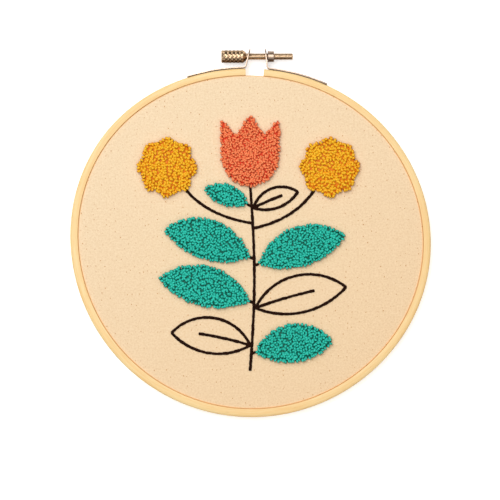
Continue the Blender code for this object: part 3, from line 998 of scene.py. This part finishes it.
def pile_places(edge, spacing, rng):
    """Uneven but close places for loops: first a row just inside the outline, then the rest."""
    low, high = edge.min(0), edge.max(0)
    rim = 0.42 * spacing
    count = int(12 * np.prod(high - low) / spacing ** 2)
    places = np.zeros((0, 2))
    for reach in 4 * (1.35 * rim,) + 14 * (math.inf,):
        points = rng.uniform(low, high, (count, 2))
        points = points[inside_outline(points, edge)]
        distance = nearest_on_outline(points, edge)[1]
        points = points[(distance > rim) & (distance < reach)]
        if len(places):
            gaps = np.linalg.norm(points[:, None] - places[None], axis=2).min(1)
            points = points[gaps > spacing]
        for point in points:
            if not len(places) or np.min(np.sum((places - point) ** 2, axis=1)) > spacing ** 2:
                places = np.vstack([places, point])
    return places, *nearest_on_outline(places, edge)


def loop_turns(places, bend, yarn, rng):
    """Turn of each loop about its own middle, chosen so that its legs stand clear of those beside it."""
    legs = np.zeros((0, 2))
    turns = []
    for place in places:
        near = legs[np.sum((legs - place) ** 2, axis=1) < (3 * yarn) ** 2]
        first = rng.uniform(0, math.pi)
        best_cost = math.inf
        for angle in first + np.arange(8) * math.pi / 8:
            reach = bend * np.array([math.cos(angle), math.sin(angle)])
            pair = np.array([place + reach, place - reach])
            gaps = np.linalg.norm(near[None] - pair[:, None], axis=2)
            cost = np.sum(np.maximum(0, 1.2 * yarn - gaps) ** 2)
            if cost < best_cost:
                best_cost = cost
                best_angle = angle
                best_pair = pair
        turns.append(best_angle)
        legs = np.vstack([legs, best_pair])
    return turns


def loop_shape(yarn, bend, height):
    """One pile loop: two legs and a round bend of yarn, of a few dozen faces."""
    leg = height - bend - yarn / 2
    arch = math.pi * bend

    def yarn_place(co):
        rise = max(0.0, co.z - leg)
        bend_angle = math.atan2(rise, co.x)
        off_axis = math.hypot(rise, co.x) - bend
        along = leg + bend * bend_angle if rise else (co.z if co.x > 0 else 2 * leg + arch - co.z)
        return math.atan2(co.y, off_axis) / math.tau, along

    loop = begin(
        bpy.ops.mesh.primitive_circle_add, vertices=8, radius=yarn / 2, location=(bend, 0, 0),
        fill_type="NOTHING",
    )
    extrude_row(move=(0, 0, leg))
    bpy.ops.mesh.spin(steps=5, angle=math.pi, center=(0, 0, leg), axis=(0, 1, 0))
    extrude_row(move=(0, 0, -leg))
    close_up()
    map_twist(loop, yarn_place)
    return loop


def pile_bed(edge, top, name):
    """Low mound under the loops, which closes the gaps between them, tinted in the yarn's painted shade."""
    bed = begin(
        bpy.ops.mesh.primitive_circle_add, vertices=len(edge), radius=1.0, fill_type="NGON"
    )
    bpy.ops.object.mode_set(mode="OBJECT")
    middle = Vector(edge.mean(0))
    for vert, point in zip(bed.data.vertices, edge):
        flat = Vector(point)
        flat += (middle - flat).normalized() * BED_INSET
        vert.co = (flat.x, flat.y, CLOTH_FRONT - SKIM)
    bpy.ops.object.mode_set(mode="EDIT")
    bpy.ops.mesh.select_all(action="SELECT")
    extrude_row(move=(0, 0, top - CLOTH_FRONT - BED_SHOULDER))
    extrude_row(move=(0, 0, BED_SHOULDER), stretch=(0.94, 0.94, 1), centre=(middle.x, middle.y, top))
    close_up()
    tint = bed.data.attributes.new("tint", "FLOAT", "POINT")
    tint.data.foreach_set("value", [BED_SHADE_TINT] * len(bed.data.vertices))
    bed.name = name
    return bed


Pile = namedtuple("Pile", "node points yarn seed")


def piles():
    """Every loop-pile motif of the sprig: its node, its outline, its yarn and its random seed."""
    motifs = [(leaf.node, leaf_outline(leaf), "teal") for leaf in PILE_LEAVES]
    motifs += [(blossom.node, blossom_outline(blossom), "yellow") for blossom in BLOSSOMS]
    motifs.append(("pile_tulip", tulip_outline(), "orange"))
    return [Pile(node, points, yarn, 11 + index) for index, (node, points, yarn) in enumerate(motifs)]


def loop_spacing(yarn):
    return getattr(sizes(), yarn + "_spacing")


def yarn_of(name):
    """Material of one yarn, lit and deep."""
    if name == "teal":
        return yarn_material("teal_loops", colours().teal, colours().teal_painted_shade)
    if name == "yellow":
        return yarn_material("yellow_loops", colours().yellow, colours().yellow_painted_shade)
    return yarn_material("orange_loops", colours().orange, colours().orange_painted_shade, 0.14 * MM, 0.12)


class HOOPART_OT_pile(bpy.types.Operator):
    """Standing loops of yarn in every leaf and blossom"""

    bl_idname = "hoop_art.pile"
    bl_label = "Loop Pile"

    def execute(self, context):
        for pile in piles():
            self.make(pile)
        return {"FINISHED"}

    def make(self, pile):
        rng = np.random.default_rng(pile.seed)
        edge = np.array([tuple(point) for point in pile.points])
        spacing = loop_spacing(pile.yarn)
        yarn = YARN_SHARE * spacing
        bend = BEND_SHARE * spacing
        places, nearest, distance = pile_places(edge, spacing, rng)
        set_turns = loop_turns(places, bend, yarn, rng)
        height = PILE_TOP - CLOTH_FRONT
        turns = []
        tints = []
        for place, foot, reach, set_turn in zip(places, nearest, distance, set_turns):
            outwards = foot - place
            outwards /= max(np.linalg.norm(outwards), 1e-9)
            near_rim = max(0.0, 1 - reach / (1.8 * MM))
            lean = rng.normal(0, 0.10, 2) + outwards * near_rim * rng.uniform(0.05, 0.45)
            turn = Euler((-lean[1], lean[0], set_turn), "ZYX").to_matrix().to_4x4()
            stretch = Matrix.Diagonal((
                rng.uniform(0.92, 1.15), rng.uniform(0.95, 1.12), rng.uniform(0.88, 1.04), 1
            ))
            z = CLOTH_FRONT + cloth_wave(*place) - SKIM
            turns.append(Matrix.Translation((place[0], place[1], z)) @ turn @ stretch)
            tints.append(rng.uniform(-1, 1))
        shape = loop_shape(yarn, bend, height)
        loops = copies_of(shape, turns, tints, pile.node)
        bed = pile_bed(edge, CLOTH_FRONT + BED_TOPS[pile.yarn], pile.node + "_bed")
        piece = join([loops, bed])
        complete(
            piece, pile.node.replace("pile", "loops"), yarn_of(pile.yarn), pile.yarn + "_yarn", pile.node,
            smooth_deg=100,
        )


def stitch_shape(length, rows=STITCH_ROWS, sides=8):
    """One stitch, 1 long, 1 wide and 1 high, with its ends drawn down into the cloth."""
    stitch = turned(rows, sides)
    map_twist(stitch, lambda co: (math.atan2(co.z, co.y) / math.tau, co.x * length))
    for vert in stitch.data.vertices:
        vert.co.z -= 0.35 * (2 * abs(vert.co.x)) ** 4
    return stitch


def stitch_turns(path, length, width, height, z_of, rng, overlap=1.12):
    """Places of stitches one after another along a path."""
    lengths = [(b - a).length for a, b in zip(path, path[1:])]
    total = sum(lengths)
    count = max(1, round(total / length))
    cuts = []
    for step in range(count + 1):
        target = total * step / count
        index = 0
        while index < len(lengths) - 1 and target > lengths[index]:
            target -= lengths[index]
            index += 1
        share = min(1.0, target / lengths[index])
        cuts.append(path[index].lerp(path[index + 1], share))
    turns = []
    for start, end in zip(cuts, cuts[1:]):
        along = end - start
        middle = (start + end) / 2
        turn = Matrix.Rotation(math.atan2(along.y, along.x) + rng.gauss(0, 0.045), 4, "Z")
        stretch = Matrix.Diagonal((
            along.length * overlap, width * rng.uniform(0.88, 1.10), height * rng.uniform(0.9, 1.1), 1
        ))
        place = Matrix.Translation((middle.x, middle.y, z_of(middle.x, middle.y)))
        turns.append(place @ turn @ stretch)
    return turns


class HOOPART_OT_stitches(bpy.types.Operator):
    """Black backstitch of the stem and the outlined leaves, and its longer stitches behind"""

    bl_idname = "hoop_art.stitches"
    bl_label = "Line Stitches"

    def execute(self, context):
        rng = random.Random(5)
        width = sizes().thread_width
        height = THREAD_FLATNESS * width
        front, back = [], []
        for path in line_paths():
            front += stitch_turns(
                path, sizes().stitch_length, width, height,
                lambda x, y: CLOTH_FRONT + cloth_wave(x, y) + 0.36 * height, rng,
            )
            back += stitch_turns(
                path, 2 * sizes().stitch_length, width, height,
                lambda x, y: CLOTH_FRONT - CLOTH_THICKNESS + cloth_wave(x, y) - 0.25 * height, rng,
            )
        for name, turns in (("line_stitches", front), ("line_stitches_back", back)):
            tints = [rng.uniform(-1, 1) for turn in turns]
            piece = copies_of(stitch_shape(sizes().stitch_length), turns, tints, name)
            complete(piece, name, thread_material(), "black_thread", smooth_deg=80)
        return {"FINISHED"}


class HOOPART_OT_pile_backs(bpy.types.Operator):
    """Rows of flat running stitches that the loop pile leaves behind the cloth"""

    bl_idname = "hoop_art.pile_backs"
    bl_label = "Pile Backs"

    def execute(self, context):
        for yarn in ("teal", "yellow", "orange"):
            turns = []
            for pile in piles():
                if pile.yarn == yarn:
                    turns += self.rows(pile)
            rng = random.Random(len(turns))
            # The yarn material gives these low backs its painted shade; their tints lighten them part way.
            tints = [rng.uniform(0.5, 2.5) for turn in turns]
            shape = stitch_shape(sizes().back_stitch, FLAT_STITCH_ROWS, 6)
            piece = copies_of(shape, turns, tints, yarn)
            complete(piece, "pile_backs_" + yarn, yarn_of(yarn), yarn + "_yarn", smooth_deg=80)
        return {"FINISHED"}

    def rows(self, pile):
        """Stitches side by side in rows across a motif."""
        rng = random.Random(pile.seed)
        edge = np.array([tuple(point) for point in pile.points])
        low, high = edge.min(0), edge.max(0)
        row_gap = loop_spacing(pile.yarn)
        length = sizes().back_stitch
        turns = []
        y = low[1] + row_gap / 2
        while y < high[1]:
            x = low[0] + rng.uniform(0, length)
            while x < high[0]:
                ends = np.array([(x, y), (x + 0.8 * length, y)])
                if inside_outline(ends, edge).all():
                    z = CLOTH_FRONT - CLOTH_THICKNESS + cloth_wave(x, y) - 0.25 * MM
                    place = Matrix.Translation((x + length / 2, y + rng.gauss(0, 0.08 * MM), z))
                    turn = Matrix.Rotation(rng.gauss(0, 0.08), 4, "Z")
                    stretch = Matrix.Diagonal((length * 1.04, row_gap * 1.05, 0.9 * MM, 1))
                    turns.append(place @ turn @ stretch)
                x += length
            y += row_gap
        return turns


class HOOPART_OT_screw(bpy.types.Operator):
    """Clamp screw with a knurled head and a fine thread"""

    bl_idname = "hoop_art.screw"
    bl_label = "Clamp Screw"

    head_length = 14.5 * MM
    neck_length = 1.7 * MM
    neck_radius = 2.4 * MM
    shank_radius = 1.9 * MM
    chamfer = 0.5 * MM

    def execute(self, context):
        material = metal_material("bronze_plate", colours().bronze, srgb(120, 88, 60), 0.25)
        screw = join([self.head(), self.shank()])
        complete(
            screw, "knurled_screw", material, "bronze", "screw",
            body="screw", move=Vector((SCREW_LOW.x, SCREW_AXIS.y, AXIS_Z)), smooth_deg=30,
        )
        return {"FINISHED"}

    def head(self):
        """Head from x = 0: a chamfer, a knurl of pyramids between crossing grooves, and a neck."""
        columns = 40
        pitch = math.tau * HEAD_RADIUS / columns
        knurl_end = self.head_length - self.neck_length
        count = round((knurl_end - self.chamfer) / pitch)
        step_x = (knurl_end - self.chamfer) / count
        inset = HEAD_RADIUS - self.chamfer
        rows = [(0.25 * MM, inset * 0.55), (0.0, inset * 0.62), (0.0, inset), (self.chamfer, HEAD_RADIUS)]
        rows += [(self.chamfer + step * step_x, HEAD_RADIUS) for step in range(1, count)]
        rows += [(knurl_end, HEAD_RADIUS), (self.head_length, self.neck_radius), (self.head_length, 1.7 * MM)]
        head = turned(rows, columns)
        hollow = head.data.attributes.new("hollow", "FLOAT", "POINT")
        for vert, item in zip(head.data.vertices, hollow.data):
            radius = math.hypot(vert.co.y, vert.co.z)
            row = (vert.co.x - self.chamfer) / step_x
            column = math.atan2(vert.co.z, vert.co.y) / math.tau * columns
            if 0.5 < row < count - 0.5 and radius > HEAD_RADIUS - self.chamfer / 2:
                to_grooves = (abs((round(row) + way * round(column)) % 4 - 2) for way in (1, -1))
                rise = min(1.0, 0.65 * min(to_grooves))
                item.value = 1 - rise
                scale = (HEAD_RADIUS - (1 - rise) * sizes().knurl_depth) / radius
                vert.co.y *= scale
                vert.co.z *= scale
        return head

    def shank(self):
        """Threaded shank: rows round a helix, fading out at the chamfered end."""
        columns = 20
        rows_a_turn = 5
        start = self.head_length - 0.3 * MM
        end = SCREW_LENGTH - self.chamfer
        pitch = sizes().thread_pitch
        count = round((end - start) / pitch * rows_a_turn)
        rows = [(start + (end - start) * step / count, self.shank_radius) for step in range(count + 1)]
        rows += [(SCREW_LENGTH, self.shank_radius - self.chamfer)]
        shank = turned(rows, columns)
        hollow = shank.data.attributes.new("hollow", "FLOAT", "POINT")
        for vert, item in zip(shank.data.vertices, hollow.data):
            if vert.co.x > end:
                continue
            turn = math.atan2(vert.co.z, vert.co.y) / math.tau
            wave = abs(((vert.co.x / pitch - turn) % 1.0) * 2 - 1)
            item.value = wave
            scale = 1 - sizes().thread_depth * wave / self.shank_radius
            vert.co.y *= scale
            vert.co.z *= scale
        return shank


def nickel_material():
    return metal_material("nickel_plate", colours().nickel, srgb(140, 118, 98), 0.32)


class HOOPART_OT_nut(bpy.types.Operator):
    """Turned nut against the right ear"""

    bl_idname = "hoop_art.nut"
    bl_label = "Nut"

    def execute(self, context):
        low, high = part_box("nut")
        length = high.x - low.x
        flange_radius = (high.z - low.z) / 2
        radius, bore, edge, flange = 3.15 * MM, 2.0 * MM, 0.35 * MM, 0.6 * MM
        bevel = 0.12 * MM
        rows = (
            (0.0, bore), (0.0, flange_radius - bevel), (bevel, flange_radius),
            (flange - bevel, flange_radius), (flange, flange_radius - bevel), (flange, radius),
            (length * 0.45, radius), (length - edge, radius), (length - edge / 3, radius - edge / 2),
            (length, radius - edge), (length, bore + 0.3 * MM), (length - 0.3 * MM, bore), (0.0, bore),
        )
        nut = turned(rows, 40, closed_round=True)
        complete(
            nut, "turned_nut", nickel_material(), "nickel", "nut",
            move=Vector((low.x, SCREW_AXIS.y, AXIS_Z)), smooth_deg=35,
        )
        return {"FINISHED"}


class HOOPART_OT_ears(bpy.types.Operator):
    """Bent sheet-metal ears with softened edges"""

    bl_idname = "hoop_art.ears"
    bl_label = "Ears"

    def execute(self, context):
        for node in ("left_ear", "right_ear"):
            bpy.ops.object.select_all(action="DESELECT")
            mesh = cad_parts[node].data.copy()
            ear = bpy.data.objects.new(node + "_sheet", mesh)
            context.scene.collection.objects.link(ear)
            context.view_layer.objects.active = ear
            ear.select_set(True)
            bpy.ops.object.mode_set(mode="EDIT")
            bpy.ops.mesh.select_all(action="SELECT")
            bpy.ops.mesh.remove_doubles(threshold=MERGE_WITHIN)
            bpy.ops.mesh.dissolve_limited(angle_limit=math.radians(0.5))
            bpy.ops.mesh.select_all(action="SELECT")
            bpy.ops.transform.shrink_fatten(value=-sizes().ear_thinning / 2)
            bpy.ops.object.mode_set(mode="OBJECT")
            apply_modifier(
                ear, "softened edges", "BEVEL", width=0.16 * MM, segments=2,
                limit_method="ANGLE", angle_limit=math.radians(40),
            )
            complete(
                ear, node + "_sheet", nickel_material(), "nickel", node,
                move=Vector((0, 0, 0)), smooth_deg=35,
            )
        return {"FINISHED"}


class HOOPART_OT_stage(bpy.types.Operator):
    """Pale floor, soft lights and a camera straight above the hoop"""

    bl_idname = "hoop_art.stage"
    bl_label = "Stage"

    pixel = 0.59 * MM
    hoop_pixel = (250.1, 241.9)
    camera_height = 2.2

    def execute(self, context):
        self.floor()
        self.lights()
        self.camera(context)
        return {"FINISHED"}

    def floor(self):
        floor = begin(bpy.ops.mesh.primitive_plane_add, size=6.0)
        bpy.ops.object.mode_set(mode="OBJECT")
        floor.name = "studio_floor"
        material, nodes, shader = new_material(
            "studio_floor", 0.9, Specular_IOR_Level=0.1, Emission_Color=(1, 1, 1, 1), Emission_Strength=0.5
        )
        place = nodes.add("ShaderNodeTexCoord", out=3)
        mottle = nodes.noise(place, 3.0)
        shade = nodes.mix(mottle, (0.80, 0.80, 0.80, 1), (0.82, 0.82, 0.82, 1))
        nodes.feed(shader.inputs["Base Color"], shade)
        floor.data.materials.append(material)

    def lights(self):
        world = bpy.data.worlds.new("studio_world")
        bpy.context.scene.world = world
        world.use_nodes = True
        nodes = Nodes(world.node_tree)
        way = nodes.add("ShaderNodeTexCoord")
        up = nodes.add("ShaderNodeSeparateXYZ", way, out=2)
        low, high = (0.03, 0.028, 0.026, 1), (0.96, 0.94, 0.915, 1)
        sky = world.node_tree.nodes["Background"]
        nodes.feed(sky.inputs["Color"], nodes.mix(nodes.ramp(up, 0.35, 0.95), low, high))
        sky.inputs["Strength"].default_value = 1.0
        Lamp = namedtuple("Lamp", "name place size power colour")
        lamps = (
            Lamp("overhead", (-0.34, 0.44, 1.72), 0.8, 12.7, (1.0, 0.998, 0.99)),
            Lamp("key", (-0.52, 0.74, 0.97), 0.9, 5.2, (0.98, 0.99, 1.0)),
            Lamp("fill", (0.9, -0.5, 1.4), 1.2, 2.0, (0.98, 0.99, 1.0)),
        )
        for lamp in lamps:
            light = bpy.data.lights.new(lamp.name, "AREA")
            light.energy = lamp.power
            light.size = lamp.size
            light.color = lamp.colour
            holder = bpy.data.objects.new(lamp.name, light)
            holder.location = lamp.place
            holder.rotation_euler = Vector(lamp.place).to_track_quat("Z", "Y").to_euler()
            bpy.context.scene.collection.objects.link(holder)
        bpy.context.scene.view_settings.view_transform = "Standard"

    def camera(self, context):
        half = self.pixel * PHOTO_SIDE / 2
        camera = bpy.data.cameras.new("camera")
        camera.angle = 2 * math.atan(half / self.camera_height)
        holder = bpy.data.objects.new("camera", camera)
        across = (PHOTO_SIDE / 2 - self.hoop_pixel[0]) * self.pixel
        down = (PHOTO_SIDE / 2 - self.hoop_pixel[1]) * self.pixel
        holder.location = HOOP_CENTRE + Vector((across, -down, RING_FRONT + self.camera_height))
        context.scene.collection.objects.link(holder)
        context.scene.camera = holder


class HOOPART_PT_panel(bpy.types.Panel):
    """Sizes, colours and pieces of the hoop art"""

    bl_idname = "HOOPART_PT_panel"
    bl_label = "Hoop Art"
    bl_space_type = "VIEW_3D"
    bl_region_type = "UI"
    bl_category = "Hoop Art"

    def draw(self, context):
        layout = self.layout
        for group in (context.scene.hoop_art_sizes, context.scene.hoop_art_colours):
            box = layout.box()
            for name in group.__annotations__:
                box.prop(group, name)
        for operator in OPERATORS:
            layout.operator(operator.bl_idname)


OPERATORS = (
    HOOPART_OT_outer_ring,
    HOOPART_OT_inner_ring,
    HOOPART_OT_cloth,
    HOOPART_OT_pile,
    HOOPART_OT_stitches,
    HOOPART_OT_pile_backs,
    HOOPART_OT_screw,
    HOOPART_OT_nut,
    HOOPART_OT_ears,
    HOOPART_OT_stage,
)
CLASSES = (HoopArtSizes, HoopArtColours, *OPERATORS, HOOPART_PT_panel)


def register():
    for cls in CLASSES:
        bpy.utils.register_class(cls)
    bpy.types.Scene.hoop_art_sizes = bpy.props.PointerProperty(type=HoopArtSizes)
    bpy.types.Scene.hoop_art_colours = bpy.props.PointerProperty(type=HoopArtColours)


def unregister():
    del bpy.types.Scene.hoop_art_colours
    del bpy.types.Scene.hoop_art_sizes
    for cls in reversed(CLASSES):
        bpy.utils.unregister_class(cls)


def main():
    register()
    bpy.ops.hoop_art.outer_ring()
    bpy.ops.hoop_art.inner_ring()
    bpy.ops.hoop_art.cloth()
    bpy.ops.hoop_art.pile()
    bpy.ops.hoop_art.stitches()
    bpy.ops.hoop_art.pile_backs()
    bpy.ops.hoop_art.screw()
    bpy.ops.hoop_art.nut()
    bpy.ops.hoop_art.ears()
    bpy.ops.hoop_art.stage()


if __name__ == "__main__":
    main()
